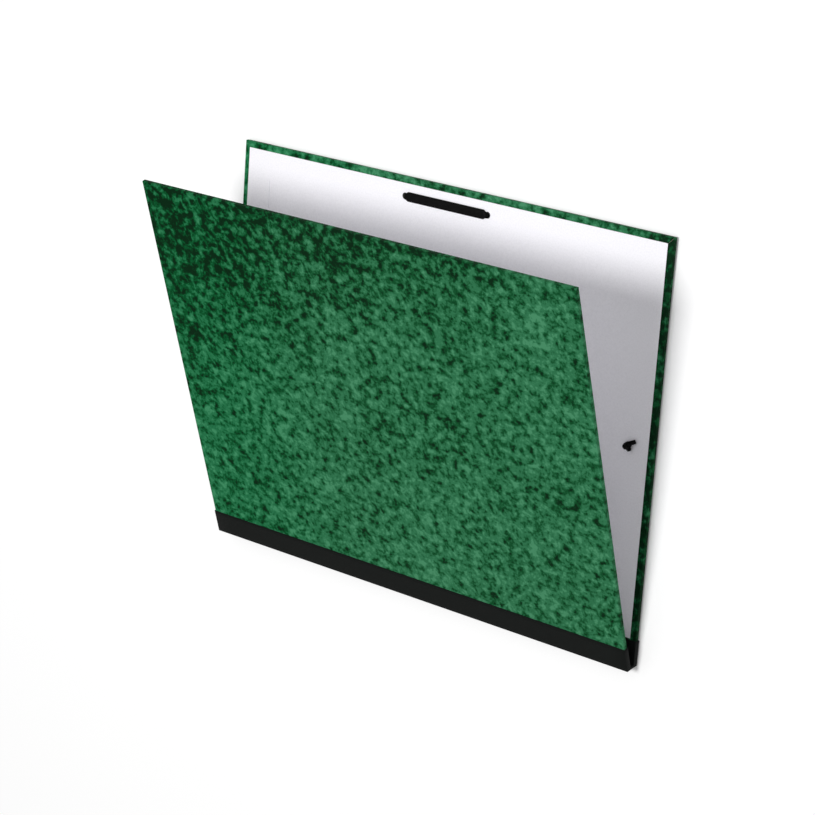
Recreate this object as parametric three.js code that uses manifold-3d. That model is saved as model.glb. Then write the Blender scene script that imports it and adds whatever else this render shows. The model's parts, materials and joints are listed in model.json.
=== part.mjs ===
// A drawing portfolio: two paper-covered boards joined along one long side by a cloth spine,
// with a flat closing elastic threaded through the rear cover.
// Millimetres, +Z up. It lies on its rear cover with the front cover raised.
import * as THREE from "three";
import { mergeVertices } from "three/addons/utils/BufferGeometryUtils.js";
import Module from "manifold-3d";

const wasm = await Module();
wasm.setup();

// Covers
const coverLength = 330; // along the spine, over the paper
const coverDepth = 260; // from the spine edge to the free edge, over the paper
const boardThickness = 2;
const paperThickness = 0.25;
const liningThickness = 0.2;
const glueGap = 0.1; // film of glue between two layers
const turnIn = 22; // paper and cloth folded over onto the inner face
const liningMargin = 4; // coloured border left round the white lining
const mitreSlit = 0.3; // open seam where two folded edges meet at a corner

// Spine
const openAngle = THREE.MathUtils.degToRad(19.5);
const coverGap = 2.4; // between the two inner faces when they lie parallel
const spineSetback = 1; // from the hinge line to the spine edge of each board
const clothThickness = 0.4;
const clothReach = 15.5; // width of the cloth that shows on each outer face
const stripReach = 16.5; // width of the inner hinge strip that shows on each inner face
const stripLap = 6; // part of the hinge strip under the lining
const stripBend = 0.5; // inner radius of the fold in the joint
const foldSteps = 5;

// Closing elastic
const elasticWidth = 6;
const elasticThickness = 0.8;
const elasticBend = 1; // centre-line radius where it dips through the cover
const barInset = 12; // from the free edge to the stretch on the inner face
const barLength = 68; // stretch that shows on the inner face, over its two holes
const barGatherLength = 5;
const holeInset = 17.5; // from each short edge
const holeHeight = 132.5; // from the spine edge
const gatheredWidth = 3.4;
const gatheredThickness = 1.1;
const gatherLength = 14;
const holeClearance = 0.4;
const bendSteps = 6;

// Knot at each end of the elastic
const knotRadius = 3;
const knotHeight = 3;
const knotSteps = 12;
const turnRadius = 1.9; // the wrapped turn, to the middle of its strand
const strandRadius = 1.05;
const turnTilt = THREE.MathUtils.degToRad(20);
const tailLength = 5.5;
const tailHeading = THREE.MathUtils.degToRad(38);
const tailRise = 0.9;

// Levels of one cover, seen from the hinge line, with the inner face up
const liningTop = -coverGap / 2;
const liningUnder = liningTop - liningThickness;
const boardTop = liningUnder - clothThickness - 2 * glueGap;
const boardUnder = boardTop - boardThickness;
const paperOutset = glueGap + paperThickness;
const paperUnder = boardUnder - paperOutset;
const foldedPaperTop = boardTop + paperOutset;
const holeRadius = gatheredWidth / 2 + holeClearance;

// Outline of one cover
const boardHalf = coverLength / 2 - paperOutset;
const spineEdge = spineSetback;
const freeEdge = spineEdge + coverDepth;
const boardEnd = freeEdge - paperOutset;
const foldInner = coverLength / 2 - turnIn;
const foldEnd = freeEdge - turnIn;
const beyond = 5; // how far a cutting body runs past what it cuts

const colours = {
  greyboard: 0x8d877b,
  marbledPaper: 0x1e643c,
  liningPaper: 0xf4f4f0,
  bookcloth: 0x17181a,
  elastic: 0x101011,
};

function finish(colour, roughness) {
  return new THREE.MeshStandardMaterial({ color: colour, roughness, metalness: 0 });
}

const materials = {
  greyboard: finish(colours.greyboard, 0.9),
  marbledPaper: finish(colours.marbledPaper, 0.55),
  liningPaper: finish(colours.liningPaper, 0.8),
  bookcloth: finish(colours.bookcloth, 0.75),
  elastic: finish(colours.elastic, 0.85),
};

// A closed three.js geometry as a solid that can be joined and cut.
function solid(geometry) {
  const bare = geometry.clone();
  bare.deleteAttribute("normal");
  bare.deleteAttribute("uv");
  const merged = mergeVertices(bare, 1e-4);
  return new wasm.Manifold(
    new wasm.Mesh({
      numProp: 3,
      vertProperties: merged.attributes.position.array,
      triVerts: new Uint32Array(merged.index.array),
    }),
  );
}

function geometryOf(body) {
  const mesh = body.getMesh();
  const geometry = new THREE.BufferGeometry();
  geometry.setAttribute("position", new THREE.BufferAttribute(mesh.vertProperties, 3));
  geometry.setIndex(new THREE.BufferAttribute(mesh.triVerts, 1));
  return geometry;
}

function named(name, body, material) {
  const flat = geometryOf(body).toNonIndexed();
  flat.computeVertexNormals();
  const mesh = new THREE.Mesh(flat, material);
  mesh.name = name;
  return mesh;
}

function block(x0, x1, y0, y1, z0, z1) {
  const box = new THREE.BoxGeometry(x1 - x0, y1 - y0, z1 - z0);
  box.translate((x0 + x1) / 2, (y0 + y1) / 2, (z0 + z1) / 2);
  return solid(box);
}

// A closed outline of (y, z) points drawn out along the spine from x0 to x1.
function alongSpine(points, x0, x1) {
  const geometry = new THREE.ExtrudeGeometry(new THREE.Shape(points), {
    depth: x1 - x0,
    bevelEnabled: false,
  });
  const turn = new THREE.Matrix4().makeBasis(
    new THREE.Vector3(0, 1, 0),
    new THREE.Vector3(0, 0, 1),
    new THREE.Vector3(1, 0, 0),
  );
  geometry.applyMatrix4(turn);
  geometry.translate(x0, 0, 0);
  return solid(geometry);
}

// A closed outline of (x, z) points drawn out from the spine edge to y1.
function acrossCover(points, y1) {
  const geometry = new THREE.ExtrudeGeometry(new THREE.Shape(points), {
    depth: y1 - spineEdge,
    bevelEnabled: false,
  });
  geometry.rotateX(Math.PI / 2);
  geometry.translate(0, y1, 0);
  return solid(geometry);
}

// A quarter round of the fold about a board's sharp edge.
function quarterRound(centre, radius, from) {
  return Array.from({ length: foldSteps + 1 }, (_, i) => {
    const angle = from + ((Math.PI / 2) * i) / foldSteps;
    const spoke = new THREE.Vector2(Math.cos(angle), Math.sin(angle));
    return spoke.multiplyScalar(radius).add(centre);
  });
}

// The board grown by an outset, with its long edges and its free edge rounded as paper folds.
function wrappedBoard(outset) {
  const lowerFree = new THREE.Vector2(boardEnd, boardUnder);
  const upperFree = new THREE.Vector2(boardEnd, boardTop);
  const lengthwise = [
    new THREE.Vector2(spineEdge, boardTop + outset),
    new THREE.Vector2(spineEdge, boardUnder - outset),
    ...quarterRound(lowerFree, outset, -Math.PI / 2),
    ...quarterRound(upperFree, outset, 0),
  ];
  const crosswise = [
    ...quarterRound(new THREE.Vector2(-boardHalf, boardUnder), outset, Math.PI),
    ...quarterRound(new THREE.Vector2(boardHalf, boardUnder), outset, -Math.PI / 2),
    ...quarterRound(new THREE.Vector2(boardHalf, boardTop), outset, 0),
    ...quarterRound(new THREE.Vector2(-boardHalf, boardTop), outset, Math.PI / 2),
  ];
  const reach = coverLength / 2 + beyond;
  const long = alongSpine(lengthwise, -reach, reach);
  return long.intersect(acrossCover(crosswise, freeEdge + beyond));
}

// Plan of the elastic in the right half of the rear cover
const barHole = new THREE.Vector2(barLength / 2 - holeRadius, freeEdge - barInset);
const sideHole = new THREE.Vector2(coverLength / 2 - holeInset, spineEdge + holeHeight);

function holeCutter(hole, side) {
  const height = liningTop - paperUnder + 2 * beyond;
  const cutter = new THREE.CylinderGeometry(holeRadius, holeRadius, height, 4 * foldSteps);
  cutter.rotateX(Math.PI / 2);
  cutter.translate(side * hole.x, hole.y, (liningTop + paperUnder) / 2);
  return solid(cutter);
}

// The four holes of the rear cover that the elastic passes through.
function punched(body) {
  let rest = body;
  for (const side of [-1, 1]) {
    for (const hole of [barHole, sideHole]) rest = rest.subtract(holeCutter(hole, side));
  }
  return rest;
}

function board() {
  return block(-boardHalf, boardHalf, spineEdge, boardEnd, boardUnder, boardTop);
}

// Decorated paper over the outer face, folded round three edges onto the inner face.
function coverPaper() {
  const window = block(
    -foldInner,
    foldInner,
    spineEdge - beyond,
    foldEnd,
    boardTop - glueGap,
    boardTop + beyond,
  );
  let paper = wrappedBoard(paperOutset).subtract(wrappedBoard(glueGap)).subtract(window);
  for (const side of [-1, 1]) {
    const length = (turnIn + liningMargin) * Math.SQRT2;
    const slit = new THREE.BoxGeometry(length, mitreSlit, beyond);
    slit.translate(-length / 2 - 2 * paperOutset, 0, beyond / 2);
    slit.rotateZ((side * Math.PI) / 4 + (side < 0 ? Math.PI : 0));
    slit.translate((side * coverLength) / 2, freeEdge, boardTop + glueGap / 2);
    paper = paper.subtract(solid(slit));
  }
  return paper;
}

// White paper that covers the inner face and rides up over the folded edges and the hinge strip.
function lining() {
  const half = coverLength / 2 - liningMargin;
  const start = spineEdge + stripReach;
  const sunkHalf = foldInner - glueGap;
  const sunkStart = start + stripLap + glueGap;
  const sunkEnd = foldEnd - glueGap;
  const wall = liningThickness;
  const sunkFloor = boardTop + glueGap;
  const sheet = block(-half, half, start, freeEdge - liningMargin, liningUnder, liningTop);
  const sunk = block(-sunkHalf, sunkHalf, sunkStart, sunkEnd, sunkFloor, liningTop);
  const hollow = block(
    -sunkHalf + wall,
    sunkHalf - wall,
    sunkStart + wall,
    sunkEnd - wall,
    sunkFloor + wall,
    liningTop + beyond,
  );
  return sheet.add(sunk).subtract(hollow);
}

// A (y, z) point of the rear cover carried to the raised front cover.
function toFront(point) {
  const shut = new THREE.Vector2(point.x, -point.y);
  return shut.rotateAround(new THREE.Vector2(), openAngle);
}

// One face of a cloth that runs from the rear cover round the joint to the front cover.
function jointFace(centre, radius, reach) {
  const rear = [new THREE.Vector2(reach, centre.y - radius)];
  const sweep = Math.PI / 2 - openAngle / 2;
  for (let i = 0; i <= foldSteps; i++) {
    const angle = -Math.PI / 2 - (sweep * i) / foldSteps;
    const spoke = new THREE.Vector2(Math.cos(angle), Math.sin(angle));
    rear.push(spoke.multiplyScalar(radius).add(centre));
  }
  return [...rear, ...rear.map(toFront).reverse()];
}

function jointSection(outerFace, innerFace) {
  return [...outerFace, ...innerFace.toReversed()];
}

// The outer cloth turns on the outer edge of each cover.
const outerFold = new THREE.Vector2(spineEdge, paperUnder);
const outerEnd = spineEdge + clothReach;

// The inner cloth turns in the joint. It starts from a level on the inner face.
function innerFold(level) {
  const setIn = stripBend + clothThickness;
  return new THREE.Vector2(spineEdge + setIn, level + setIn);
}

// Black cloth over the spine, with its two ends folded in over the paper.
function spineCloth() {
  const outside = jointFace(outerFold, glueGap + clothThickness, outerEnd);
  const underside = jointFace(outerFold, glueGap, outerEnd);
  const turned = innerFold(foldedPaperTop + glueGap);
  const turnedUnderside = jointFace(turned, stripBend + clothThickness, outerEnd);
  const turnedFace = jointFace(turned, stripBend, outerEnd);
  const end = coverLength / 2 + glueGap;
  let cloth = alongSpine(jointSection(outside, underside), -end, end);
  for (const side of [-1, 1]) {
    const flap = [side * foldInner, side * end].sort((a, b) => a - b);
    const wall = [side * end, side * (end + clothThickness)].sort((a, b) => a - b);
    cloth = cloth
      .add(alongSpine(jointSection(turnedUnderside, turnedFace), ...flap))
      .add(alongSpine(jointSection(outside, turnedFace), ...wall));
  }
  return cloth;
}

// Black cloth strip inside the joint, between the turned-in ends and under both linings.
function hingeStrip() {
  const fold = innerFold(boardTop + glueGap);
  const reach = spineEdge + stripReach + stripLap;
  const underside = jointFace(fold, stripBend + clothThickness, reach);
  const face = jointFace(fold, stripBend, reach);
  const half = foldInner - glueGap;
  return alongSpine(jointSection(underside, face), -half, half);
}

// Stations of the elastic from the middle of the bar to one knot. It gathers at each hole, and
// turns from the bar's heading to the slanting one on its way through the cover.
function elasticStations() {
  const at = (plan, level) => new THREE.Vector3(plan.x, plan.y, level);
  const along = (from, direction, length) => from.clone().addScaledVector(direction, length);
  const line = (a, b) => new THREE.LineCurve3(a, b);
  const bend = (a, b, c) => new THREE.QuadraticBezierCurve3(a, b, c);
  const straight = new THREE.Vector2(1, 0);
  const slanting = sideHole.clone().sub(barHole).normalize();
  const middle = new THREE.Vector2(0, barHole.y);
  const dip = along(barHole, straight, -elasticBend);
  const flatBeforeDip = along(dip, straight, -barGatherLength);
  const exit = along(barHole, slanting, elasticBend);
  const flatAfterExit = along(exit, slanting, gatherLength);
  const rise = along(sideHole, slanting, -elasticBend);
  const flatBeforeRise = along(rise, slanting, -gatherLength);
  const top = liningTop + glueGap + elasticThickness / 2;
  const low = paperUnder - glueGap - elasticThickness / 2;
  const gatheredTop = liningTop + glueGap + gatheredThickness / 2;
  const gatheredLow = paperUnder - glueGap - gatheredThickness / 2;
  const knotMiddle = liningTop + knotHeight / 2;
  const runs = [
    {
      curve: line(at(middle, top), at(flatBeforeDip, top)),
      steps: 1,
      gather: [0, 0],
      heading: [straight, straight],
    },
    {
      curve: line(at(flatBeforeDip, top), at(dip, gatheredTop)),
      steps: bendSteps,
      gather: [0, 1],
      heading: [straight, straight],
    },
    {
      curve: bend(
        at(dip, gatheredTop),
        at(barHole, gatheredTop),
        at(barHole, gatheredTop - elasticBend),
      ),
      steps: bendSteps,
      gather: [1, 1],
      heading: [straight, straight],
    },
    {
      curve: line(
        at(barHole, gatheredTop - elasticBend),
        at(barHole, gatheredLow + elasticBend),
      ),
      steps: bendSteps,
      gather: [1, 1],
      heading: [straight, slanting],
    },
    {
      curve: bend(
        at(barHole, gatheredLow + elasticBend),
        at(barHole, gatheredLow),
        at(exit, gatheredLow),
      ),
      steps: bendSteps,
      gather: [1, 1],
      heading: [slanting, slanting],
    },
    {
      curve: line(at(exit, gatheredLow), at(flatAfterExit, low)),
      steps: bendSteps,
      gather: [1, 0],
      heading: [slanting, slanting],
    },
    {
      curve: line(at(flatAfterExit, low), at(flatBeforeRise, low)),
      steps: 1,
      gather: [0, 0],
      heading: [slanting, slanting],
    },
    {
      curve: line(at(flatBeforeRise, low), at(rise, gatheredLow)),
      steps: bendSteps,
      gather: [0, 1],
      heading: [slanting, slanting],
    },
    {
      curve: bend(
        at(rise, gatheredLow),
        at(sideHole, gatheredLow),
        at(sideHole, gatheredLow + elasticBend),
      ),
      steps: bendSteps,
      gather: [1, 1],
      heading: [slanting, slanting],
    },
    {
      curve: line(at(sideHole, gatheredLow + elasticBend), at(sideHole, knotMiddle)),
      steps: 1,
      gather: [1, 1],
      heading: [slanting, slanting],
    },
  ];
  const stations = [];
  for (const { curve, steps, gather, heading } of runs) {
    const first = stations.length ? 1 : 0;
    for (let i = first; i <= steps; i++) {
      const part = i / steps;
      const gathered = THREE.MathUtils.lerp(gather[0], gather[1], part);
      stations.push({
        point: curve.getPoint(part),
        tangent: curve.getTangent(part),
        heading: heading[0].clone().lerp(heading[1], part).normalize(),
        width: THREE.MathUtils.lerp(elasticWidth, gatheredWidth, gathered),
        thickness: THREE.MathUtils.lerp(elasticThickness, gatheredThickness, gathered),
      });
    }
  }
  return stations;
}

// A flat band through the stations, lying level wherever it runs along a cover.
function band(stations, side) {
  const positions = [];
  for (const { point, tangent, heading, width, thickness } of stations) {
    const across = new THREE.Vector3(-heading.y, heading.x, 0);
    const up = tangent.clone().cross(across).normalize();
    const edge = thickness / 4;
    const corners = [
      [width / 2, edge],
      [width / 2 - edge, thickness / 2],
      [edge - width / 2, thickness / 2],
      [-width / 2, edge],
      [-width / 2, -edge],
      [edge - width / 2, -thickness / 2],
      [width / 2 - edge, -thickness / 2],
      [width / 2, -edge],
    ];
    for (const [a, b] of corners) {
      const corner = point.clone().addScaledVector(across, a).addScaledVector(up, b);
      positions.push(side * corner.x, corner.y, corner.z);
    }
  }
  const sides = 8;
  const faces = [];
  const quad = (a, b, c, d) => faces.push(a, b, c, a, c, d);
  for (let i = 0; i + 1 < stations.length; i++) {
    for (let j = 0; j < sides; j++) {
      const next = (j + 1) % sides;
      quad(i * sides + j, i * sides + next, (i + 1) * sides + next, (i + 1) * sides + j);
    }
  }
  const last = (stations.length - 1) * sides;
  for (let j = 1; j + 1 < sides; j++) {
    faces.push(0, j + 1, j);
    faces.push(last, last + j, last + j + 1);
  }
  if (side < 0) faces.reverse();
  const geometry = new THREE.BufferGeometry();
  geometry.setAttribute("position", new THREE.Float32BufferAttribute(positions, 3));
  geometry.setIndex(faces);
  return solid(geometry);
}

// An end knot: a rounded lump, one turn wrapped over it and a short cut tail.
function knot(side) {
  const base = liningTop + glueGap;
  const profile = [new THREE.Vector2(0, 0)];
  for (let i = 0; i <= knotSteps; i++) {
    const angle = (Math.PI / 2) * (i / knotSteps);
    profile.push(new THREE.Vector2(knotRadius * Math.cos(angle), knotHeight * Math.sin(angle)));
  }
  profile[profile.length - 1].x = 0;
  const lump = new THREE.LatheGeometry(profile, 2 * knotSteps);
  lump.rotateX(Math.PI / 2);
  lump.translate(side * sideHole.x, sideHole.y, base);
  const turn = new THREE.TorusGeometry(turnRadius, strandRadius, knotSteps, 2 * knotSteps);
  turn.rotateY(side * turnTilt);
  turn.translate(side * sideHole.x, sideHole.y, base + knotHeight / 2 + strandRadius / 2);
  const tail = new THREE.BoxGeometry(tailLength, elasticWidth / 2, elasticThickness);
  tail.translate(tailLength / 2 + turnRadius / 2, 0, 0);
  tail.rotateY(-Math.atan2(tailRise, tailLength));
  tail.rotateZ(side > 0 ? tailHeading : Math.PI - tailHeading);
  tail.translate(side * sideHole.x, sideHole.y, base + knotHeight / 2);
  return solid(lump).add(solid(turn)).add(solid(tail));
}

// One elastic: a bar on the inner face, down through a hole at each end, across the outer face towards
// each short side, and up through a hole to its knot.
function closingElastic() {
  const stations = elasticStations();
  const halves = [-1, 1].map((side) => band(stations, side).add(knot(side)));
  return halves[0].add(halves[1]);
}

function cover(prefix, finishing) {
  const group = new THREE.Group();
  group.add(
    named(`${prefix}_board`, finishing(board()), materials.greyboard),
    named(`${prefix}_cover_paper`, finishing(coverPaper()), materials.marbledPaper),
    named(`${prefix}_lining`, finishing(lining()), materials.liningPaper),
  );
  return group;
}

const rearCover = cover("rear", punched);
const frontCover = cover("front", (body) => body);
frontCover.rotation.set(openAngle, Math.PI, 0);

const portfolio = new THREE.Group();
portfolio.add(
  rearCover,
  frontCover,
  named("spine_cloth", spineCloth(), materials.bookcloth),
  named("hinge_strip", hingeStrip(), materials.bookcloth),
  named("closing_elastic", closingElastic(), materials.elastic),
);

// The origin is under the middle of the whole part.
const bounds = new THREE.Box3().setFromObject(portfolio, true);
const centre = bounds.getCenter(new THREE.Vector3());
portfolio.position.set(-centre.x, -centre.y, -bounds.min.z);

export default portfolio;
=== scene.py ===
"""Dresses a drawing portfolio that lies on its rear cover with the front cover raised.

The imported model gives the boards, the papers and every place. This script adds the finishes, the
bent cloth of the spine and its inner strip, and the woven closing elastic with its knots.
"""

from __future__ import annotations

import json
import logging
import math
from abc import ABC, abstractmethod
from dataclasses import dataclass, replace
from enum import Enum
from itertools import accumulate, pairwise, product
from typing import Any

import bmesh
import bpy
from bpy.types import GeometryNodeTree, Material, Mesh, Node, NodeSocket, NodeTree, Object
from mathutils import Matrix, Vector

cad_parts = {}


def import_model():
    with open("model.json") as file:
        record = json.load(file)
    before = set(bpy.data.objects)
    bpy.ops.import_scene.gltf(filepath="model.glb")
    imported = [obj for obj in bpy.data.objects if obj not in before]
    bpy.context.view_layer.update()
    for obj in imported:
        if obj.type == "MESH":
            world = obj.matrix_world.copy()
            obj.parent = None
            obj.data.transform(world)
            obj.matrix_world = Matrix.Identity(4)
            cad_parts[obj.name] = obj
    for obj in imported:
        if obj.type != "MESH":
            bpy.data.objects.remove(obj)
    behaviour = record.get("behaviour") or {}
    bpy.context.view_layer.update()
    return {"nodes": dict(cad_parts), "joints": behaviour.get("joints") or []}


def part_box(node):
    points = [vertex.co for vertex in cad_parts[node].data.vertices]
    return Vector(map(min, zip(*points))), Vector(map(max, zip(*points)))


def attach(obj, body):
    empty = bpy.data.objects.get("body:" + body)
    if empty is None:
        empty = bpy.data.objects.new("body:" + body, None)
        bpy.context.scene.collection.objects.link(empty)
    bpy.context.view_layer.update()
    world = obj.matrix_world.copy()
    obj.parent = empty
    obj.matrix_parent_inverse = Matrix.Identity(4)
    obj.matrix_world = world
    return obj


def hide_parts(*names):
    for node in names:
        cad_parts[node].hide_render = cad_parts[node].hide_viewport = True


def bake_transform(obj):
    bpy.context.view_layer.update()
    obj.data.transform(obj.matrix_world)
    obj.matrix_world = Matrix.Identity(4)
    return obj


LOG = logging.getLogger("portfolio")
MM = 0.001
IMAGE_WIDTH_PX = 815
UV_NAME = "cloth_mm"

# A pair of numbers or a place in a section, a place or direction in space, and a linear colour.
Point = tuple[float, float]
Spot = tuple[float, float, float]
Colour = tuple[float, float, float, float]
WHITE: Colour = (1.0, 1.0, 1.0, 1.0)
SHARP_ANGLE = math.radians(35)

NOISE = "ShaderNodeTexNoise"
MATH = "ShaderNodeMath"
VECTOR_MATH = "ShaderNodeVectorMath"
# The sockets of a mix node that mixes colours.
MIX_FACTOR, MIX_A, MIX_B, MIX_RESULT = 0, 6, 7, 2
# How long one wave of a wave texture is at scale 1.
WAVE_LENGTH = math.pi / 10


class Body(str, Enum):
    """The two bodies that the cloth hinge joins."""

    REAR = "rear"
    FRONT = "front"


def linear(code: str) -> Colour:
    """Turns an sRGB hex value into a linear colour.

    Args:
        code: Six hex digits, such as "2d8c5a".

    Returns:
        Red, green, blue and alpha for a node socket.
    """

    def channel(value: float) -> float:
        """One channel, by the sRGB curve."""
        return value / 12.92 if value <= 0.04045 else ((value + 0.055) / 1.055) ** 2.4

    red, green, blue = (int(code[i : i + 2], 16) / 255 for i in (0, 2, 4))
    return channel(red), channel(green), channel(blue), 1.0


def feed(tree: NodeTree, node: Node, inputs: dict[str | int, Any]) -> None:
    """Sets a node's inputs.

    Args:
        tree: The node tree that holds the node.
        node: The node.
        inputs: Socket name or index to a value, or to the socket that feeds it.
    """
    for key, value in inputs.items():
        if isinstance(value, NodeSocket):
            tree.links.new(value, node.inputs[key])
        else:
            node.inputs[key].default_value = value


def add_node(
    tree: NodeTree,
    kind: str,
    inputs: dict[str | int, Any] | None = None,
    **settings: Any,
) -> Node:
    """Adds a node with its settings, its values and its links.

    Args:
        tree: The node tree that the node goes into.
        kind: Blender's name of the node type.
        inputs: Socket name or index to a value, or to the socket that feeds it.
        **settings: Properties of the node.

    Returns:
        The new node.
    """
    node = tree.nodes.new(kind)
    for name, value in settings.items():
        setattr(node, name, value)
    feed(tree, node, inputs or {})
    return node


@dataclass(frozen=True)
class Grain:
    """The noise of one feature: its size in millimetres and how its edges break up."""

    size_mm: float
    detail: float
    roughness: float = 0.5

    def at(self, place: NodeSocket) -> dict[str | int, Any]:
        """Describes the noise at a place.

        Args:
            place: The socket that holds the place in millimetres.

        Returns:
            The inputs of a noise node.
        """
        return {
            "Vector": place,
            "Scale": 1 / self.size_mm,
            "Detail": self.detail,
            "Roughness": self.roughness,
        }


@dataclass(frozen=True)
class Finish(ABC):
    """What every finish has: a name, how it reflects light and how deep its relief is."""

    name: str
    roughness: float
    relief_mm: float
    ior: float = 1.5
    specular: float = 0.5
    sheen: float = 0.0

    @abstractmethod
    def pattern(self, tree: NodeTree) -> tuple[NodeSocket, NodeSocket]:
        """Adds the nodes of the surface's pattern.

        Args:
            tree: The material's tree.

        Returns:
            The colour, and the height as a share of the relief.
        """

    def material(self) -> Material:
        """Builds the material.

        Returns:
            The material, named for the finish.
        """
        material = bpy.data.materials.new(self.name)
        material.use_nodes = True
        tree = material.node_tree
        colour, height = self.pattern(tree)
        bump = add_node(tree, "ShaderNodeBump", {"Height": height, "Distance": self.relief_mm * MM})
        values = {
            "Base Color": colour,
            "Roughness": self.roughness,
            "IOR": self.ior,
            "Specular IOR Level": self.specular,
            "Sheen Weight": self.sheen,
            "Normal": bump.outputs["Normal"],
        }
        feed(tree, tree.nodes["Principled BSDF"], values)
        return material

    @staticmethod
    def object_mm(tree: NodeTree) -> NodeSocket:
        """Reads each spot's place on the piece.

        Args:
            tree: The material's tree.

        Returns:
            Object coordinates in millimetres.
        """
        place = add_node(tree, "ShaderNodeTexCoord")
        scaled = add_node(
            tree, VECTOR_MATH, {0: place.outputs["Object"], 1: (1 / MM,) * 3}, operation="MULTIPLY"
        )
        return scaled.outputs[0]

    @staticmethod
    def laid_over(
        tree: NodeTree, ground: NodeSocket | Colour, value: NodeSocket, span: Point, colour: Colour
    ) -> NodeSocket:
        """Lays a colour over a ground, more and more as a value passes through a span.

        Args:
            tree: The material's tree.
            ground: The colour where the value is below the span.
            value: The value that decides.
            span: Where the colour starts to show and where it is full.
            colour: The colour that is laid on.

        Returns:
            The resulting colour.
        """
        share = add_node(
            tree,
            "ShaderNodeMapRange",
            {"Value": value, "From Min": span[0], "From Max": span[1]},
            interpolation_type="SMOOTHSTEP",
        )
        values = {MIX_FACTOR: share.outputs[0], MIX_A: ground, MIX_B: colour}
        return add_node(tree, "ShaderNodeMix", values, data_type="RGBA").outputs[MIX_RESULT]


@dataclass(frozen=True)
class PrintedMarbledPaper(Finish):
    """Marbled paper, printed and calendered: soft dark blots that run together on bright green.

    The blots are 4 to 7 mm across, with fainter specks between them. The calendered face has a
    low, broad sheen. The sheet is also painted darker towards one corner or end. On the front
    sheet the darker upper left, with inks painted purer on the left, is painted sheen: it stands
    in for a glossy reflection that lifts and greys the rest of the sheet. On the rear sheet the
    darker right end is painted shade, deepening the shadow of the raised front cover.
    """

    name: str = "printed_marbled_paper"
    roughness: float = 0.58
    relief_mm: float = 0.012
    ior: float = 1.45
    specular: float = 0.06
    swirl: Grain = Grain(11.0, detail=2.0)
    swirl_reach_mm: float = 2.0
    blot: Grain = Grain(5.0, detail=3.0, roughness=0.55)
    speck: Grain = Grain(1.9, detail=2.0, roughness=0.6)
    speck_share: float = 0.36
    cloud: Grain = Grain(38.0, detail=1.0)
    cloud_share: float = 0.16
    # Painted shading: the sheet darkens towards this side. On the front it is painted sheen,
    # standing in for a glossy reflection that lifts and greys the rest; the rear sheet uses it for
    # painted shade.
    painted_shading_towards: Spot = (-0.35, 0.94, 0.0)
    painted_shading_span_mm: Point = (30.0, 125.0)
    painted_shading_share: float = -0.14
    # Painted sheen: the inks grow purer towards the left, away from the painted sheen.
    painted_purity_towards: Spot = (-1.0, 0.0, 0.0)
    painted_purity_span_mm: Point = (20.0, 150.0)
    painted_purity_share: float = 0.08
    grain: Grain = Grain(0.5, detail=2.0)
    black_green: str = "032610"
    deep_green: str = "0b4c27"
    mid_green: str = "2d704a"
    bright_green: str = "458962"
    blacks: Point = (0.56, 0.655)
    deeps: Point = (0.655, 0.785)
    brights: Point = (0.8, 0.93)

    def carried(self, tree: NodeTree, place: NodeSocket) -> NodeSocket:
        """Finds where each spot's colour was carried from when the pattern was swirled.

        Args:
            tree: The material's tree.
            place: The spot's place in millimetres.

        Returns:
            The place that the colour came from.
        """
        swirl = add_node(tree, NOISE, self.swirl.at(place))
        centred = add_node(
            tree, VECTOR_MATH, {0: swirl.outputs["Color"], 1: (0.5,) * 3}, operation="SUBTRACT"
        )
        moved = add_node(
            tree,
            VECTOR_MATH,
            {0: centred.outputs[0], 1: (2 * self.swirl_reach_mm,) * 3, 2: place},
            operation="MULTIPLY_ADD",
        )
        return moved.outputs[0]

    @staticmethod
    def across(tree: NodeTree, place: NodeSocket, towards: Spot, span_mm: Point) -> NodeSocket:
        """Rises softly from 0 to 1 as a spot lies further across the sheet.

        Args:
            tree: The material's tree.
            place: The spot's place in millimetres.
            towards: The direction in which it rises.
            span_mm: How far across it starts to rise and how far it is 1.

        Returns:
            The value between 0 and 1.
        """
        reach = add_node(tree, VECTOR_MATH, {0: place, 1: towards}, operation="DOT_PRODUCT")
        rise = add_node(
            tree,
            "ShaderNodeMapRange",
            {"Value": reach.outputs["Value"], "From Min": span_mm[0], "From Max": span_mm[1]},
            interpolation_type="SMOOTHSTEP",
        )
        return rise.outputs[0]

    def tone(self, tree: NodeTree, place: NodeSocket) -> NodeSocket:
        """Sums up how light the print is, with the painted shading on top.

        Args:
            tree: The material's tree.
            place: The spot's place in millimetres.

        Returns:
            The tone, from blots, specks, clouds and the painted shading.
        """
        carried = self.carried(tree, place)
        blots, specks, clouds = (
            add_node(tree, NOISE, grain.at(spot)).outputs["Fac"]
            for grain, spot in ((self.blot, carried), (self.speck, carried), (self.cloud, place))
        )
        # Painted shading, rising towards one side of the sheet.
        painted_shading_ramp = self.across(tree, place, self.painted_shading_towards, self.painted_shading_span_mm)
        tone = blots
        layers = ((specks, self.speck_share), (clouds, self.cloud_share), (painted_shading_ramp, self.painted_shading_share))
        for layer, share in layers:
            added = add_node(tree, MATH, {0: layer, 1: share, 2: tone}, operation="MULTIPLY_ADD")
            tone = added.outputs[0]
        return tone

    def pattern(self, tree: NodeTree) -> tuple[NodeSocket, NodeSocket]:
        """Adds the swirled inks, the painted shading and sheen, and the grain of the paper.

        Args:
            tree: The material's tree.

        Returns:
            The colour and the height.
        """
        place = self.object_mm(tree)
        tone = self.tone(tree, place)
        colour: NodeSocket | Colour = linear(self.black_green)
        inks = (
            (self.blacks, self.deep_green),
            (self.deeps, self.mid_green),
            (self.brights, self.bright_green),
        )
        for span, ink in inks:
            colour = self.laid_over(tree, colour, tone, span, linear(ink))
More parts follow.
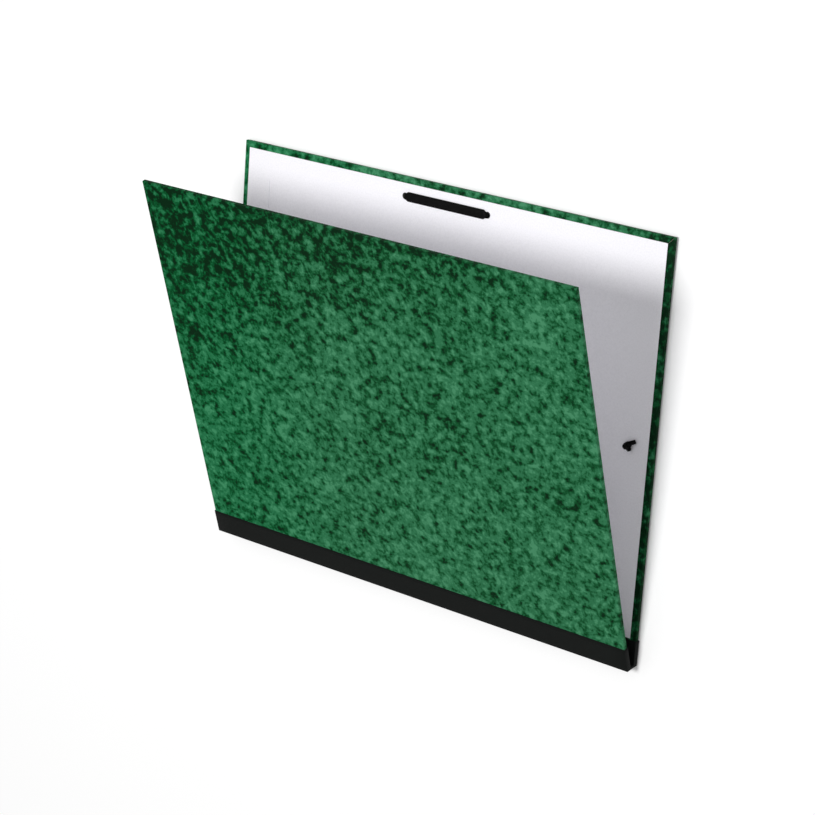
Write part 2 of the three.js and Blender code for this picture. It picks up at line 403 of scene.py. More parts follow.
        # Painted sheen: purer inks towards the left.
        painted_purity_ramp = self.across(tree, place, self.painted_purity_towards, self.painted_purity_span_mm)
        values = {0: painted_purity_ramp, 1: self.painted_purity_share, 2: 1.0}
        painted_purity = add_node(tree, MATH, values, operation="MULTIPLY_ADD")
        values = {"Saturation": painted_purity.outputs[0], "Color": colour}
        inked = add_node(tree, "ShaderNodeHueSaturation", values)
        grain = add_node(tree, NOISE, self.grain.at(place))
        return inked.outputs["Color"], grain.outputs["Fac"]


@dataclass(frozen=True)
class WoveLiningPaper(Finish):
    """White wove paper, pasted down: matt, with faint fibres and a slight cockle from the paste."""

    name: str = "white_wove_lining_paper"
    roughness: float = 0.82
    relief_mm: float = 0.08
    specular: float = 0.25
    white: str = "f8f7fb"
    shade: str = "f1f0f4"
    shade_span: Point = (0.35, 0.7)
    cockle: Grain = Grain(26.0, detail=1.0)
    fibre: Grain = Grain(1.1, detail=4.0, roughness=0.7)
    fibre_share: float = 0.125

    def pattern(self, tree: NodeTree) -> tuple[NodeSocket, NodeSocket]:
        """Adds the fibres and the cockle.

        Args:
            tree: The material's tree.

        Returns:
            The colour and the height.
        """
        place = self.object_mm(tree)
        fibre, cockle = (
            add_node(tree, NOISE, grain.at(place)).outputs["Fac"]
            for grain in (self.fibre, self.cockle)
        )
        white, shade = linear(self.white), linear(self.shade)
        colour = self.laid_over(tree, white, fibre, self.shade_span, shade)
        values = {0: fibre, 1: self.fibre_share, 2: cockle}
        return colour, add_node(tree, MATH, values, operation="MULTIPLY_ADD").outputs[0]


@dataclass(frozen=True)
class PressedGreyboard(Finish):
    """Greyboard pressed from waste paper: dull grey-brown with flecks."""

    name: str = "pressed_greyboard"
    roughness: float = 0.9
    relief_mm: float = 0.05
    specular: float = 0.2
    ground: str = "8b857a"
    fleck: str = "6c675e"
    fleck_span: Point = (0.48, 0.62)
    flecks: Grain = Grain(0.8, detail=4.0, roughness=0.7)

    def pattern(self, tree: NodeTree) -> tuple[NodeSocket, NodeSocket]:
        """Adds the flecks, which stand a little proud.

        Args:
            tree: The material's tree.

        Returns:
            The colour and the height.
        """
        flecks = add_node(tree, NOISE, self.flecks.at(self.object_mm(tree))).outputs["Fac"]
        ground, fleck = linear(self.ground), linear(self.fleck)
        return self.laid_over(tree, ground, flecks, self.fleck_span, fleck), flecks


@dataclass(frozen=True)
class WovenFinish(Finish):
    """Two crossing sets of threads, read from the piece's own map: a dull, fine-grained black.

    Bookcloth has a thread about every 0.4 mm. It is drawn a little coarser, so that it shows.
    """

    relief_mm: float = 0.05
    sheen: float = 0.04
    across_mm: float = 0.55
    along_mm: float = 0.55
    dark: str = "070a08"
    light: str = "141a17"
    wear: Grain = Grain(12.0, detail=3.0, roughness=0.6)

    def pattern(self, tree: NodeTree) -> tuple[NodeSocket, NodeSocket]:
        """Adds both sets of threads, lighter where they are worn.

        Args:
            tree: The material's tree.

        Returns:
            The colour and the height.
        """
        place = add_node(tree, "ShaderNodeUVMap", uv_map=UV_NAME).outputs[0]
        warp, weft = (
            add_node(
                tree,
                "ShaderNodeTexWave",
                {"Vector": place, "Scale": WAVE_LENGTH / pitch_mm},
                bands_direction=axis,
            ).outputs["Fac"]
            for axis, pitch_mm in (("X", self.across_mm), ("Y", self.along_mm))
        )
        threads = add_node(tree, MATH, {0: warp, 1: weft}, operation="MULTIPLY").outputs[0]
        wear = add_node(tree, NOISE, self.wear.at(place)).outputs["Fac"]
        lit = add_node(tree, MATH, {0: threads, 1: wear}, operation="MULTIPLY").outputs[0]
        values = {MIX_FACTOR: lit, MIX_A: linear(self.dark), MIX_B: linear(self.light)}
        colour = add_node(tree, "ShaderNodeMix", values, data_type="RGBA")
        return colour.outputs[MIX_RESULT], threads


FRONT_SHEET = PrintedMarbledPaper()
# The rear sheet is painted darker at its right end: painted shade that deepens the raised front
# cover's shadow on the turned-in border.
REAR_SHEET = PrintedMarbledPaper(
    name="printed_marbled_paper_painted_shade_end",
    painted_shading_towards=(1.0, 0.0, 0.0),
    painted_shading_span_mm=(120.0, 157.0),
    painted_shading_share=-0.16,
)
BOOKCLOTH = WovenFinish(name="woven_bookcloth", roughness=0.78, specular=0.12)
ELASTIC = WovenFinish(
    name="flat_woven_elastic",
    roughness=0.85,
    relief_mm=0.09,
    specular=0.1,
    sheen=0.05,
    across_mm=0.75,
    along_mm=0.9,
    dark="050505",
    light="121111",
)


def new_piece(name: str, mesh: Mesh, material: Material) -> Object:
    """Puts a mesh into the scene as a piece.

    Args:
        name: The piece's name.
        mesh: Its mesh, with its place in it.
        material: Its finish.

    Returns:
        The piece.
    """
    piece = bpy.data.objects.new(name, mesh)
    bpy.context.scene.collection.objects.link(piece)
    mesh.materials.clear()
    mesh.materials.append(material)
    for face in mesh.polygons:
        face.use_smooth = True
    mesh.set_sharp_from_angle(angle=SHARP_ANGLE)
    LOG.info("%s: %d faces of %s", name, len(mesh.polygons), material.name)
    return piece


def grid_mesh(name: str, rows: list[list[Vector]], closed: bool = False) -> Mesh:
    """A sheet of quads through rows of points, with a map in millimetres along both ways.

    Args:
        name: The mesh's name.
        rows: Rows of equally many points, in metres.
        closed: Whether each row's last point joins its first, as on a tube, with capped ends.

    Returns:
        The mesh.
    """
    width = len(rows[0])
    columns = width if closed else width - 1
    cells = list(product(range(len(rows) - 1), range(columns)))
    corners = ((0, 0), (0, 1), (1, 1), (1, 0))
    faces = [
        tuple((row + down) * width + (column + over) % width for down, over in corners)
        for row, column in cells
    ]
    starts = [row[0] for row in rows]
    along = [0.0, *accumulate((b - a).length / MM for a, b in pairwise(starts))]
    across = []
    for row in rows:
        round_trip = pairwise([*row, row[0]] if closed else row)
        across.append([0.0, *accumulate((b - a).length / MM for a, b in round_trip)])
    maps = [
        (across[row + down][column + over], along[row + down])
        for row, column in cells
        for down, over in corners
    ]
    if closed:
        last = (len(rows) - 1) * width
        faces += [tuple(range(width))[::-1], tuple(range(last, last + width))]
        maps += [(0.0, 0.0)] * 2 * width
    mesh = bpy.data.meshes.new(name)
    mesh.from_pydata([tuple(point) for row in rows for point in row], [], faces)
    layer = mesh.uv_layers.new(name=UV_NAME)
    for loop, uv in zip(layer.data, maps):
        loop.uv = uv
    return mesh


def blended(start: float, end: float, part: float) -> float:
    """The number at a part of the way from start to end."""
    return start + (end - start) * part


def finished_mesh(piece: Object) -> Mesh:
    """Makes plain mesh of an object with its modifiers.

    Args:
        piece: The object.

    Returns:
        A new mesh with everything that the modifiers made.
    """
    bpy.context.view_layer.update()
    ready = piece.evaluated_get(bpy.context.evaluated_depsgraph_get())
    return bpy.data.meshes.new_from_object(ready)


def joined(name: str, meshes: list[Mesh]) -> Mesh:
    """Makes one mesh from several.

    Args:
        name: The new mesh's name.
        meshes: What it is made from.

    Returns:
        The mesh.
    """
    body = bmesh.new()
    for mesh in meshes:
        body.from_mesh(mesh)
    whole = bpy.data.meshes.new(name)
    body.to_mesh(whole)
    body.free()
    return whole


@dataclass
class Cover:
    """One cover: its greyboard, its marbled paper and its white lining, as the frame gives them."""

    body: Body
    nodes: dict[str, Object]
    finishes: dict[str, Material]

    def dress(self) -> None:
        """Gives each layer of the cover its finish."""
        layers = {
            "board": "greyboard",
            "cover_paper": "marbled_paper",
            "lining": "lining_paper",
        }
        for layer, slot in layers.items():
            node = self.nodes[f"{self.body.value}_{layer}"]
            node.data.materials.clear()
            node.data.materials.append(self.finishes[slot])
            LOG.info("%s dressed with %s", node.name, self.finishes[slot].name)


@dataclass
class JointFold:
    """The visible face of a cloth that runs from the rear cover round the joint to the front.

    Lengths are in millimetres from the hinge line, as (y, z) seen from the end of the spine.
    """

    centre: Point
    radius: float
    reach: float
    open_angle: float
    leg_steps: int = 6
    bend_steps: int = 7
    web_steps: int = 6

    def rear_half(self) -> list[Point]:
        """Follows the rear half of the fold.

        Returns:
            Points from the end of the rear leg to the middle of the joint.
        """
        y0, z0 = self.centre
        points = [
            (self.reach + (y0 - self.reach) * i / self.leg_steps, z0 - self.radius)
            for i in range(self.leg_steps)
        ]
        sweep = math.pi / 2 - self.open_angle / 2
        for i in range(self.bend_steps + 1):
            angle = -math.pi / 2 - sweep * i / self.bend_steps
            points.append(
                (y0 + self.radius * math.cos(angle), z0 + self.radius * math.sin(angle))
            )
        last_y, last_z = points[-1]
        rise = (-math.sin(self.open_angle / 2), math.cos(self.open_angle / 2))
        below = -(last_y * rise[0] + last_z * rise[1])
        for i in range(1, self.web_steps + 1):
            part = below * i / self.web_steps
            points.append((last_y + part * rise[0], last_z + part * rise[1]))
        return points

    def points(self) -> list[Point]:
        """Follows the whole fold.

        Returns:
            Points from the end of the rear leg to the end of the front leg.
        """
        rear = self.rear_half()
        turn_y, turn_z = math.cos(self.open_angle), math.sin(self.open_angle)
        front = [(y * turn_y + z * turn_z, y * turn_z - z * turn_y) for y, z in rear[:-1]]
        return rear + front[::-1]


@dataclass
class Spine:
    """The cloth hinge: the outer spine cloth with its turned-in ends, and the strip inside.

    Lengths are in millimetres, and levels are from the hinge line.
    """

    hinge: Vector
    cloth: Material
    half_length: float
    glue_gap: float = 0.1
    cloth_thickness: float = 0.4
    open_angle: float = math.radians(19.5)
    setback: float = 1.0
    paper_under: float = -4.35
    board_top: float = -2.0
    paper_outset: float = 0.35
    outer_reach: float = 15.5
    strip_reach: float = 22.5
    strip_bend: float = 0.5
    turn_in: float = 22.0
    end_round: float = 0.45
    cloth_blend: float = 1.4
    strip_blend: float = 2.0
    length_steps: int = 24

    def place(self, x: float, point: Point) -> Vector:
        """A point of the joint's section at x along the spine, in metres in the row frame."""
        return self.hinge + Vector((x, point[0], point[1])) * MM

    def inner_fold(self, level: float, reach: float) -> JointFold:
        """Folds a cloth that lies on the covers' inner faces.

        Args:
            level: The height of its face on the rear cover.
            reach: How far it goes on each cover.

        Returns:
            The fold of its visible face.
        """
        set_in = self.strip_bend + self.cloth_thickness
        centre = (self.setback + set_in, level + set_in)
        return JointFold(centre, self.strip_bend, reach, self.open_angle)

    def outer_cloth(self) -> list[list[Vector]]:
        """Lays out the spine cloth, with its ends turned in.

        Returns:
            Rows of points in metres, each from flap to flap round both ends of the spine.
        """
        thick = self.glue_gap + self.cloth_thickness
        reach = self.setback + self.outer_reach
        outside = JointFold(
            (self.setback, self.paper_under), thick, reach, self.open_angle
        ).points()
        level = self.board_top + self.paper_outset + self.glue_gap
        inside = self.inner_fold(level, reach).points()
        end = self.half_length + thick
        flap = self.half_length - self.turn_in
        soft = self.end_round
        edge, drop = soft / 4, soft / 3
        rows = []
        for outer, inner in zip(outside, inside):
            top, low = Vector(inner), Vector(outer)
            down = (low - top).normalized()
            turned = [
                (flap, top),
                ((flap + end) / 2, top),
                (end - soft, top),
                (end - edge, top + down * drop),
                (end, top + down * soft),
                (end, low - down * soft),
                (end - edge, low - down * drop),
                (end - soft, low),
            ]
            straight = [
                ((end - soft) * (2 * i / self.length_steps - 1), low)
                for i in range(1, self.length_steps)
            ]
            left = [(-x, point) for x, point in turned]
            rows.append([self.place(x, point) for x, point in left + straight + turned[::-1]])
        return rows

    def inner_strip(self) -> list[list[Vector]]:
        """Lays out the hinge strip, between the spine cloth's turned-in ends.

        Returns:
            Rows of points in metres, each along the spine.
        """
        section = self.inner_fold(
            self.board_top + self.glue_gap, self.setback + self.strip_reach
        ).points()
        half = self.half_length - self.turn_in - self.glue_gap
        spots = [half * (1 - 2 * i / self.length_steps) for i in range(self.length_steps + 1)]
        return [[self.place(x, point) for x in spots] for point in section]

    def build(self) -> None:
        """Makes both cloths, folded across the hinge, and gives them their thickness."""
        sheets = (
            ("spine_cloth", self.outer_cloth(), self.cloth_blend, "cover_paper"),
            ("hinge_strip", self.inner_strip(), self.strip_blend, "board"),
        )
        for node, rows, reach, layer in sheets:
            piece = new_piece(
                f"{node}_woven", grid_mesh(f"{node}_sheet", rows), self.cloth
            )
            self.thicken(piece)
            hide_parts(node)
            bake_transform(piece)

    def thicken(self, piece: Object) -> None:
        """Gives a sheet the cloth's thickness behind its visible face, as plain mesh.

        Args:
            piece: The sheet.
        """
        solidify = piece.modifiers.new("cloth_thickness", "SOLIDIFY")
        solidify.thickness = self.cloth_thickness * MM
        solidify.offset = -1
        solidify.use_even_offset = True
        mesh = finished_mesh(piece)
        piece.modifiers.clear()
        piece.data = mesh


@dataclass(frozen=True)
class Station:
    """One cross-section of the elastic, in millimetres from the middle of the hinge line."""

    point: Vector
    tangent: Vector
    across: Vector
    width: float
    thickness: float
    squareness: float = 0.45

    def mirrored(self) -> Station:
        """Mirrors the section to the left half, where the route runs the other way.

        Returns:
            The mirrored section.
        """
        flip = Vector((-1, 1, 1))
        return replace(
            self,
            point=self.point * flip,
            tangent=-(self.tangent * flip),
            across=self.across * flip,
        )

    def towards(self, other: Station, part: float) -> Station:
        """Blends the section with another one.

        Args:
            other: The other section.
            part: How much of the way to the other one, from 0 to 1.

        Returns:
            The section in between.
        """
        return replace(
            self,
            point=self.point.lerp(other.point, part),
            tangent=self.tangent.lerp(other.tangent, part).normalized(),
            across=self.across.lerp(other.across, part).normalized(),
            width=blended(self.width, other.width, part),
            thickness=blended(self.thickness, other.thickness, part),
        )

    def up(self) -> Vector:
        """The direction out of the flat face."""
        return self.tangent.cross(self.across).normalized()

    def ring(self, origin: Vector, sides: int = 16) -> list[Vector]:
        """Points round the section in metres: two flat faces with rounded edges.

        Args:
            origin: The middle of the hinge line, in metres.
            sides: How many points to make.

        Returns:
            The points, counterclockwise from the edge that across points to.
        """
        points = []
        for i in range(sides):
            turn = 2 * math.pi * i / sides
            a, b = math.cos(turn), math.sin(turn)
            wide = math.copysign(abs(a) ** self.squareness, a) * self.width / 2
            tall = math.copysign(abs(b) ** self.squareness, b) * self.thickness / 2
            points.append(origin + (self.point + self.across * wide + self.up() * tall) * MM)
        return points


def on_curve(controls: tuple[Vector, ...], part: float) -> tuple[Vector, Vector]:
    """A point and its direction on a straight line or a quadratic bend.

    Args:
        controls: Two points of a line, or three of a bend.
        part: From 0 at the start to 1 at the end.

    Returns:
        The point and the unit tangent.
    """
    start = controls[0].lerp(controls[1], part) if len(controls) == 3 else controls[0]
    end = controls[-2].lerp(controls[-1], part) if len(controls) == 3 else controls[-1]
    return start.lerp(end, part), (end - start).normalized()


def smooth_path(points: list[Vector], steps: int) -> list[Vector]:
    """Points on a smooth curve through the given ones.

    Args:
        points: What the curve passes through.
        steps: How many steps it takes from one to the next.

    Returns:
        The points of the curve.
    """
    padded = [2 * points[0] - points[1], *points, 2 * points[-1] - points[-2]]
    path = []
    for a, b, c, d in zip(padded, padded[1:], padded[2:], padded[3:]):
        for i in range(steps):
            t = i / steps
            straight = 2 * b + (c - a) * t
            curved = (2 * a - 5 * b + 4 * c - d) * t**2 + (3 * b - a - 3 * c + d) * t**3
            path.append((straight + curved) / 2)
    return [*path, points[-1]]


@dataclass(frozen=True)
class Knot:
    """The overhand knot that keeps one end of the elastic from slipping through its hole."""

    foot: Vector
    side: int
    core_radius: float = 2.1
    core_height: float = 2.6
    lobe_reach: float = 2.4
    lobe_rise: float = 0.75
    lobe_level: float = 1.5
    strand_width: float = 2.3
    strand_thickness: float = 1.35
    squareness: float = 0.6
    course_steps: int = 60
    tail_heading: float = math.radians(38)
    tail_width: float = 2.6
    tail_thickness: float = 0.9
    tail_steps: int = 5
    tail_spots: tuple[Spot, ...] = (
        (-0.8, 1.2, 2.2),
        (1.2, 1.1, 2.2),
        (3.4, 0.6, 1.3),
        (5.0, 0.2, 0.95),
        (6.4, 0.0, 1.25),
    )

    def placed(self, along: float, beside: float, rise: float) -> Vector:
        """Places a point by the knot's own directions.

        Args:
            along: How far it is along the tail.
            beside: How far it is beside the tail, towards the free edge.
            rise: How far it is above the foot.

        Returns:
            The point in millimetres.
        """
        turn_cos, turn_sin = math.cos(self.tail_heading), math.sin(self.tail_heading)
        x = along * turn_cos - beside * turn_sin
        y = along * turn_sin + beside * turn_cos
        return self.foot + Vector((self.side * x, y, rise))

    def overhand(self) -> list[Vector]:
        """Follows the three-lobed course of an overhand knot that is drawn tight.

        Returns:
            Points from one end of the knotted strand to the other.
        """
        size = self.lobe_reach / 3
        return [
            self.placed(
                size * (math.sin(turn) + 2 * math.sin(2 * turn)),
                size * (math.cos(turn) - 2 * math.cos(2 * turn)),
                self.lobe_level - self.lobe_rise * math.sin(3 * turn),
            )
            for turn in (2 * math.pi * i / self.course_steps for i in range(self.course_steps + 1))
        ]

    def strand(
        self, path: list[Vector], width: float, thickness: float, face: Vector | None = None
    ) -> list[Station]:
        """A strand along a path.

        Args:
            path: Its course, in millimetres.
            width: Its width.
            thickness: Its thickness.
            face: Where its flat face looks, if that isn't away from the knot's middle.

        Returns:
            The strand's sections.
        """
        middle = self.placed(0, 0, self.core_height / 2)
        stations = []
        for i, point in enumerate(path):
            ahead, behind = path[min(i + 1, len(path) - 1)], path[max(i - 1, 0)]
            tangent = (ahead - behind).normalized()
            across = (face or point - middle).cross(tangent).normalized()
            stations.append(Station(point, tangent, across, width, thickness, self.squareness))
        return stations

    def strands(self) -> list[list[Station]]:
        """Makes the knotted strand and the tail.

        Returns:
            The sections of each.
        """
        tail = smooth_path([self.placed(*spot) for spot in self.tail_spots], self.tail_steps)
        return [
            self.strand(self.overhand(), self.strand_width, self.strand_thickness),
            self.strand(tail, self.tail_width, self.tail_thickness, Vector((0, 0, 1))),
        ]

    def core(self, origin: Vector, rings: int = 12, sides: int = 24) -> list[list[Vector]]:
        """Makes the tight middle of the knot.

        Args:
            origin: The middle of the hinge line, in metres.
            rings: How many steps there are from the foot to the top.
            sides: How many points each ring has.

        Returns:
            Rings of points in metres, from the foot to the top.
        """
        rows = []
        for lift in (math.pi * i / rings for i in range(1, rings)):
            radius = self.core_radius * math.sin(lift)
            level = self.core_height / 2 * (1 - math.cos(lift))
            ring = [
                self.placed(radius * math.cos(turn), self.side * radius * math.sin(turn), level)
                for turn in (2 * math.pi * i / sides for i in range(sides))
            ]
            rows.append([origin + point * MM for point in ring])
        return rows


@dataclass(frozen=True)
class Run:
    """One run of the elastic: its way, and how gathered and how turned it is from end to end.

    A share of 0 is flat and in line with the bar; 1 is gathered and in line with the slant.
    """

    controls: tuple[Vector, ...]
    gathered: Point
    turned: Point = (1.0, 1.0)


@dataclass(frozen=True)
class WovenRibs:
    """Geometry Nodes that set one soft rib, a rounded block, on every point of a mesh.

    Each point has its directions and its rib's size as the attributes across, up and size.
    """

    finish: Material
    roundness: int = 1
    rows_across: int = 4

    def tree(self) -> GeometryNodeTree:
        """Builds the node group.

        Returns:
            The group, with the inputs Points, Rows Across, Roundness and Finish.
        """
        tree = bpy.data.node_groups.new("woven_ribs", "GeometryNodeTree")
        sockets = {
            "Points": "NodeSocketGeometry",
            "Rows Across": "NodeSocketInt",
            "Roundness": "NodeSocketInt",
            "Finish": "NodeSocketMaterial",
        }
        for name, kind in sockets.items():
            tree.interface.new_socket(name=name, in_out="INPUT", socket_type=kind)
        tree.interface.new_socket(name="Ribs", in_out="OUTPUT", socket_type="NodeSocketGeometry")
        given = add_node(tree, "NodeGroupInput")
        up, across, size = (
            add_node(
                tree, "GeometryNodeInputNamedAttribute", {"Name": name}, data_type="FLOAT_VECTOR"
            ).outputs["Attribute"]
            for name in ("up", "across", "size")
        )
        block = add_node(
            tree, "GeometryNodeMeshCube", {"Vertices Y": given.outputs["Rows Across"]}
        )
        rib = add_node(
            tree,
            "GeometryNodeSubdivisionSurface",
            {"Mesh": block.outputs["Mesh"], "Level": given.outputs["Roundness"]},
        )
        upright = add_node(tree, "FunctionNodeAlignRotationToVector", {"Vector": up}, axis="Z")
        turned = add_node(
            tree,
            "FunctionNodeAlignRotationToVector",
            {"Rotation": upright.outputs[0], "Vector": across},
            axis="Y",
            pivot_axis="Z",
        )
        ribs = add_node(
            tree,
            "GeometryNodeInstanceOnPoints",
            {
                "Points": given.outputs["Points"],
                "Instance": rib.outputs["Mesh"],
                "Rotation": turned.outputs[0],
                "Scale": size,
            },
        )
        real = add_node(
            tree, "GeometryNodeRealizeInstances", {"Geometry": ribs.outputs["Instances"]}
        )
        dressed = add_node(
            tree,
            "GeometryNodeSetMaterial",
            {"Geometry": real.outputs["Geometry"], "Material": given.outputs["Finish"]},
        )
        add_node(tree, "NodeGroupOutput", {"Ribs": dressed.outputs["Geometry"]})
        return tree

    def mesh(self, points: Mesh) -> Mesh:
        """The ribs on the points, as plain mesh.

        Args:
            points: A mesh of single points with the three attributes.

        Returns:
            The ribs.
        """
        carrier = bpy.data.objects.new("woven_ribs", points)
        bpy.context.scene.collection.objects.link(carrier)
        modifier = carrier.modifiers.new("woven_ribs", "NODES")
        modifier.node_group = self.tree()
        values = {
            "Rows Across": self.rows_across,
            "Roundness": self.roundness,
            "Finish": self.finish,
        }
        for socket in modifier.node_group.interface.items_tree:
            if socket.name in values:
                modifier[socket.identifier] = values[socket.name]
        ribs = finished_mesh(carrier)
        bpy.data.objects.remove(carrier)
        return ribs


@dataclass
class ClosingElastic:
    """The flat elastic: a bar inside, two slanting stretches outside and a knot at each end.

    Lengths are in millimetres from the hinge line, on the rear cover.
    """

    hinge: Vector
    finish: Material
    width: float = 6.0
    thickness: float = 0.8
    gathered_width: float = 3.9
    gathered_thickness: float = 1.1
    bend: float = 1.0
    bar_gather: float = 1.9
    side_gather: float = 14.0
    inner_face: float = -1.1
    outer_face: float = -4.45
    bar_hole: Point = (31.9, 249.0)
    side_hole: Point = (147.5, 133.5)
    rib_pitch: float = 0.95
    rib_stand: float = 0.06
    rib_fullness: float = 0.92
    knot_reach: float = 1.5
    steps: int = 8

    def slant(self) -> Vector:
        """The direction in plan from the bar's right hole to the right side hole."""
        return (Vector(self.side_hole) - Vector(self.bar_hole)).normalized()

    def runs(self) -> list[Run]:
        """Lays out the right half of the elastic.

        Returns:
            The runs from the middle of the bar to the right knot.
        """
        bar, side = Vector(self.bar_hole), Vector(self.side_hole)
        straight, slanting = Vector((1, 0)), self.slant()
        dip = bar - straight * self.bend
        bar_end = dip - straight * self.bar_gather
        leave = bar + slanting * self.bend
        spread = leave + slanting * self.side_gather
        rise = side - slanting * self.bend
        narrow = rise - slanting * self.side_gather
        top, high = (self.inner_face + t / 2 for t in (self.thickness, self.gathered_thickness))
        low, deep = (self.outer_face - t / 2 for t in (self.thickness, self.gathered_thickness))

        def at(plan: Vector, level: float) -> Vector:
            """A point over a place in plan."""
            return Vector((plan.x, plan.y, level))

        down, turn = at(bar, high - self.bend), at(bar, deep + self.bend)
        up = at(side, deep + self.bend)
        return [
            Run((at(Vector((0, bar.y)), top), at(bar_end, top)), (0, 0), (0, 0)),
            Run((at(bar_end, top), at(dip, high)), (0, 1), (0, 0)),
            Run((at(dip, high), at(bar, high), down), (1, 1), (0, 0)),
            Run((down, turn), (1, 1), (0, 1)),
            Run((turn, at(bar, deep), at(leave, deep)), (1, 1)),
            Run((at(leave, deep), at(spread, low)), (1, 0)),
            Run((at(spread, low), at(narrow, low)), (0, 0)),
            Run((at(narrow, low), at(rise, deep)), (0, 1)),
            Run((at(rise, deep), at(side, deep), up), (1, 1)),
            Run((up, at(side, self.inner_face + self.knot_reach)), (1, 1)),
        ]

    def half_route(self) -> list[Station]:
        """Follows the runs of the right half.

        Returns:
            Stations from the middle of the bar to the right knot.
        """
        straight, slanting = Vector((1, 0)), self.slant()
        stations: list[Station] = []
        for run in self.runs():
            for i in range(1 if stations else 0, self.steps + 1):
                part = i / self.steps
                eased = part * part * (3 - 2 * part)
                gathered = blended(*run.gathered, eased)
                heading = straight.lerp(slanting, blended(*run.turned, part)).normalized()
                point, tangent = on_curve(run.controls, part)
                station = Station(
                    point,
                    tangent,
                    across=Vector((-heading.y, heading.x, 0)),
                    width=blended(self.width, self.gathered_width, gathered),
                    thickness=blended(self.thickness, self.gathered_thickness, gathered),
                )
                stations.append(station)
        return stations

    def route(self) -> list[Station]:
        """Stations from the left knot to the right one."""
        right = self.half_route()
        return [station.mirrored() for station in reversed(right[1:])] + right

    def rib_spots(self, stations: list[Station]) -> list[Station]:
        """Spaces the ribs evenly along a strand.

        Args:
            stations: The strand's sections.

        Returns:
            One section for each rib.
        """
        spots, due = [], self.rib_pitch / 2
        for before, after in pairwise(stations):
            length = (after.point - before.point).length
            while due <= length:
                spots.append(before.towards(after, due / length))
                due += self.rib_pitch
            due -= length
        return spots

    def rib_points(self, spots: list[Station]) -> Mesh:
        """Makes the points that carry the ribs.

        Args:
            spots: One section for each rib.

        Returns:
            A mesh of single points that hold each rib's directions and size.
        """
        mesh = bpy.data.meshes.new("rib_points")
        mesh.from_pydata([tuple(self.hinge + spot.point * MM) for spot in spots], [], [])
        heights = [(spot.thickness + 2 * self.rib_stand) / self.rib_fullness for spot in spots]
        values = {
            "up": [spot.up() for spot in spots],
            "across": [spot.across for spot in spots],
            "size": [
                Vector((self.rib_pitch, spot.width, height)) * MM
                for spot, height in zip(spots, heights)
            ],
        }
        for name, vectors in values.items():
            attribute = mesh.attributes.new(name, "FLOAT_VECTOR", "POINT")
            attribute.data.foreach_set("vector", [part for v in vectors for part in v])
        return mesh

    def build(self) -> None:
        """Makes the elastic with its ribs and knots and puts it on the rear cover."""
        knots = [
            Knot(Vector((side * self.side_hole[0], self.side_hole[1], self.inner_face)), side)
            for side in (-1, 1)
        ]
        strands = [self.route()] + [strand for knot in knots for strand in knot.strands()]
        parts = [
            grid_mesh("strand", [station.ring(self.hinge) for station in strand], closed=True)
            for strand in strands
        ]
        parts += [grid_mesh("core", knot.core(self.hinge), closed=True) for knot in knots]
        spots = [spot for strand in strands for spot in self.rib_spots(strand)]
        parts.append(WovenRibs(self.finish).mesh(self.rib_points(spots)))
        LOG.info("closing elastic: %d ribs on %d strands", len(spots), len(strands))
        piece = new_piece(
            "closing_elastic_woven", joined("closing_elastic", parts), self.finish
        )
        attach(piece, Body.REAR.value)
        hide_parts("closing_elastic")


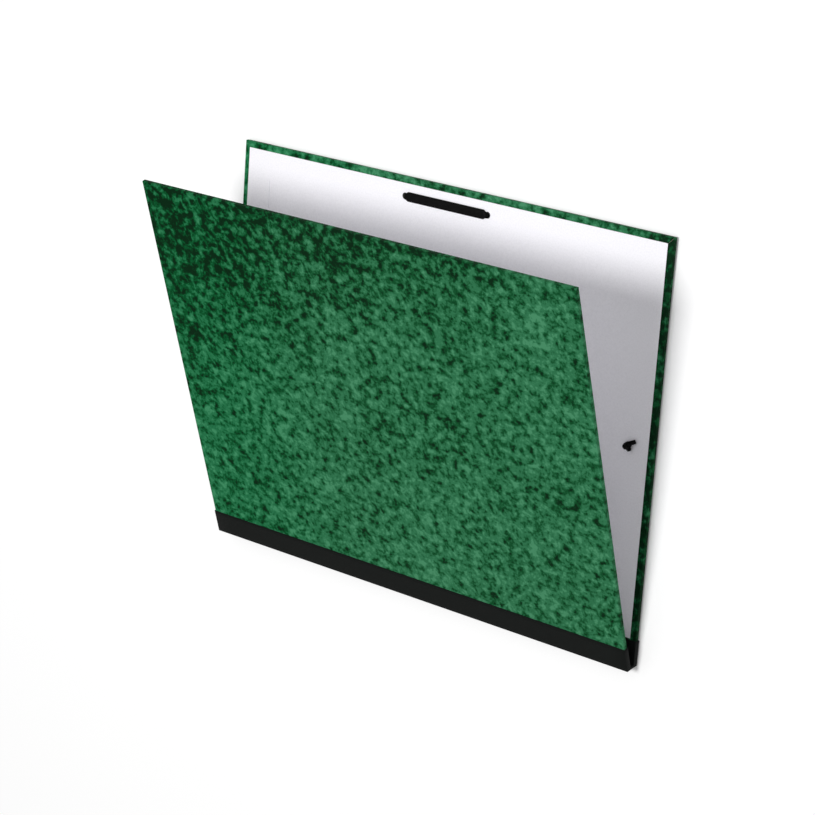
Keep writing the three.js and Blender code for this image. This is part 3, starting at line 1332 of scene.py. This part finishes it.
@dataclass
class Studio:
    """Floor, light and camera. The camera's place is in millimetres, other lengths in metres."""

    camera_place: Spot = (990.24, 456.61, 1279.57)
    camera_right: Spot = (0.77028567, 0.06749512, -0.63411702)
    camera_forward: Spot = (-0.59607022, -0.27718173, -0.75357188)
    focal_px: float = 2728.3
    sensor_mm: float = 36.0
    clip_end: float = 20.0
    floor_size: float = 12.0
    floor_colour: str = "fafafa"
    floor_lift: float = 0.08
    key_power: float = 43.0
    key_size: float = 0.8
    key_distance: float = 2.6
    key_lean: float = math.radians(9.4)
    sky_strength: float = 0.4

    def build(self) -> None:
        """Sets up everything that isn't part of the object."""
        scene = bpy.context.scene
        scene.view_settings.view_transform = "Standard"
        self.floor()
        self.sky()
        self.key()
        self.camera()

    def floor(self) -> None:
        """A plain pale floor that keeps the object's shadow."""
        half = self.floor_size / 2
        mesh = bpy.data.meshes.new("floor")
        corners = [(-half, -half, 0), (half, -half, 0), (half, half, 0), (-half, half, 0)]
        mesh.from_pydata(corners, [], [(0, 1, 2, 3)])
        material = bpy.data.materials.new("matt_white_floor")
        material.use_nodes = True
        tree = material.node_tree
        rays = add_node(tree, "ShaderNodeLightPath")
        lift = add_node(
            tree, MATH, {0: rays.outputs["Is Camera Ray"], 1: self.floor_lift}, operation="MULTIPLY"
        )
        values = {
            "Base Color": linear(self.floor_colour),
            "Roughness": 1.0,
            "Specular IOR Level": 0.0,
            "Emission Color": WHITE,
            "Emission Strength": lift.outputs[0],
        }
        feed(tree, tree.nodes["Principled BSDF"], values)
        mesh.materials.append(material)
        floor = bpy.data.objects.new("floor", mesh)
        bpy.context.scene.collection.objects.link(floor)

    def sky(self) -> None:
        """An even white surround: soft light on the object, plain white behind it."""
        world = bpy.data.worlds.new("white_surround")
        world.use_nodes = True
        tree = world.node_tree
        tree.nodes.clear()
        rays = add_node(tree, "ShaderNodeLightPath")
        soft, seen = (
            add_node(tree, "ShaderNodeBackground", {"Color": WHITE, "Strength": strength})
            for strength in (self.sky_strength, 1.0)
        )
        mix = add_node(
            tree,
            "ShaderNodeMixShader",
            {0: rays.outputs["Is Camera Ray"], 1: soft.outputs[0], 2: seen.outputs[0]},
        )
        add_node(tree, "ShaderNodeOutputWorld", {"Surface": mix.outputs[0]})
        bpy.context.scene.world = world

    def key(self) -> None:
        """One large soft lamp above the covers, leaning towards the free edge."""
        lamp = bpy.data.lights.new("soft_key", "AREA")
        lamp.shape = "DISK"
        lamp.size = self.key_size
        lamp.energy = self.key_power
        light = bpy.data.objects.new("soft_key", lamp)
        bpy.context.scene.collection.objects.link(light)
        lean = Vector((0, math.sin(self.key_lean), math.cos(self.key_lean)))
        turn = lean.to_track_quat("Z", "Y").to_matrix().to_4x4()
        light.matrix_world = Matrix.Translation(lean * self.key_distance) @ turn

    def camera(self) -> None:
        """The camera at the photograph's viewing angle."""
        data = bpy.data.cameras.new("camera")
        data.sensor_width = self.sensor_mm
        data.lens = self.focal_px / IMAGE_WIDTH_PX * self.sensor_mm
        data.clip_end = self.clip_end
        camera = bpy.data.objects.new("camera", data)
        bpy.context.scene.collection.objects.link(camera)
        back = -Vector(self.camera_forward).normalized()
        right = Vector(self.camera_right).normalized()
        up = back.cross(right).normalized()
        turn = Matrix((back.cross(right).cross(back), up, back)).transposed().to_4x4()
        camera.matrix_world = Matrix.Translation(Vector(self.camera_place) * MM) @ turn
        bpy.context.scene.camera = camera


def main() -> None:
    """Builds and dresses the portfolio and its studio."""
    logging.basicConfig(level=logging.INFO, format="%(name)s: %(message)s")
    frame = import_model()
    finishes = {
        "marbled_paper": FRONT_SHEET.material(),
        "lining_paper": WoveLiningPaper().material(),
        "greyboard": PressedGreyboard().material(),
        "bookcloth": BOOKCLOTH.material(),
        "elastic": ELASTIC.material(),
    }
    Cover(Body.FRONT, frame["nodes"], finishes).dress()
    rear_finishes = finishes | {"marbled_paper": REAR_SHEET.material()}
    Cover(Body.REAR, frame["nodes"], rear_finishes).dress()
    hinge = Vector(frame["joints"][0]["pos_m"])
    half_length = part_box("rear_cover_paper")[1].x / MM
    Spine(hinge, finishes["bookcloth"], half_length).build()
    ClosingElastic(hinge, finishes["elastic"]).build()
    Studio().build()


if __name__ == "__main__":
    main()
